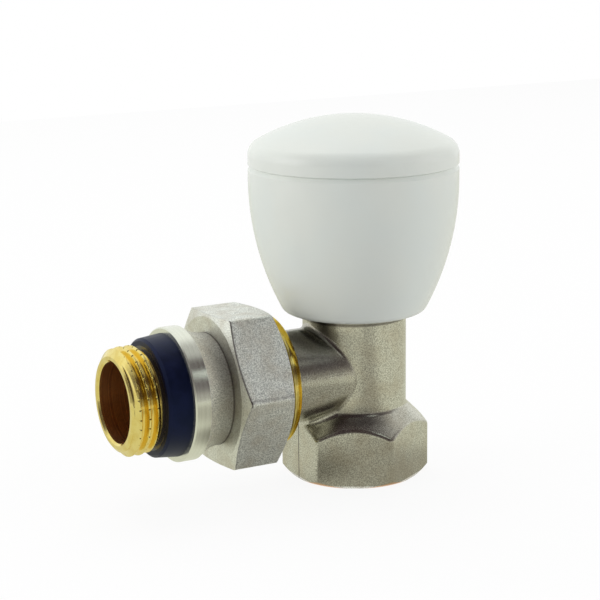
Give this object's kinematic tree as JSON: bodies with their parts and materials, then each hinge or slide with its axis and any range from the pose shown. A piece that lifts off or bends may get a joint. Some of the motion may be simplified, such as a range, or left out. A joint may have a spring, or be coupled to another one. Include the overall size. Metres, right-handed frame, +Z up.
{
  "type": "manual angle radiator valve",
  "caption": "Angle radiator valve: nickel-plated forged body with a hexagon foot, moulded hand knob on a rising spindle, and a side union with a threaded tail and sealing ring.",
  "frame": {"origin": "centre of the inlet's bottom face, on the spindle axis", "axes": "+Z up along the spindle, -X along the branch towards the tail's thread"},
  "size_m": [0.0735, 0.0416, 0.0726],
  "materials": {
    "blasted_nickel": "nickel plating on sand-blasted forged brass, fine matte grain",
    "turned_nickel": "nickel plating on turned brass, with the thread left as bare brass",
    "bare_brass": "turned brass",
    "black_rubber": "smooth satin rubber",
    "fibre_gasket": "pressed fibre sheet",
    "white_plastic": "glossy moulded plastic",
    "zinc_steel": "zinc-plated steel"
  },
  "bodies": {
    "valve": {"valve_body": "blasted_nickel", "bonnet": "bare_brass", "bonnet_gasket": "fibre_gasket", "gland_o_ring_lower": "black_rubber", "gland_o_ring_upper": "black_rubber", "gland_nut": "bare_brass", "union_gasket": "fibre_gasket"},
    "disc": {"disc_holder": "bare_brass", "seat_washer": "black_rubber", "washer_screw": "bare_brass"},
    "handle": {"spindle": "bare_brass", "knob": "white_plastic", "knob_cap": "white_plastic", "knob_screw": "zinc_steel"},
    "tail": {"tailpiece": "turned_nickel", "tail_sealing_ring": "black_rubber", "nut_retaining_ring": "bare_brass"},
    "nut": {"union_nut": "blasted_nickel"}
  },
  "joints": [
    {"name": "disc_lift", "type": "slide", "parent": "valve", "child": "disc", "axis": [0, 0, 1], "range_m": [0, 0.0045]},
    {"name": "knob_turn", "type": "hinge", "parent": "disc", "child": "handle", "pos_m": [0, 0, 0.05], "axis": [0, 0, 1], "range_deg": [0, 1080]},
    {"name": "tail_slide", "type": "slide", "parent": "valve", "child": "tail", "axis": [-1, 0, 0], "range_m": [0, 0.00504]},
    {"name": "union_nut_turn", "type": "hinge", "parent": "tail", "child": "nut", "pos_m": [-0.0267, 0, 0.0216], "axis": [-1, 0, 0], "range_deg": [0, 1000]}
  ],
  "couplings": [
    {"joint": "disc_lift", "follows": "knob_turn", "m_per_rad": 0.00023873},
    {"joint": "tail_slide", "follows": "union_nut_turn", "m_per_rad": 0.0002887}
  ]
}
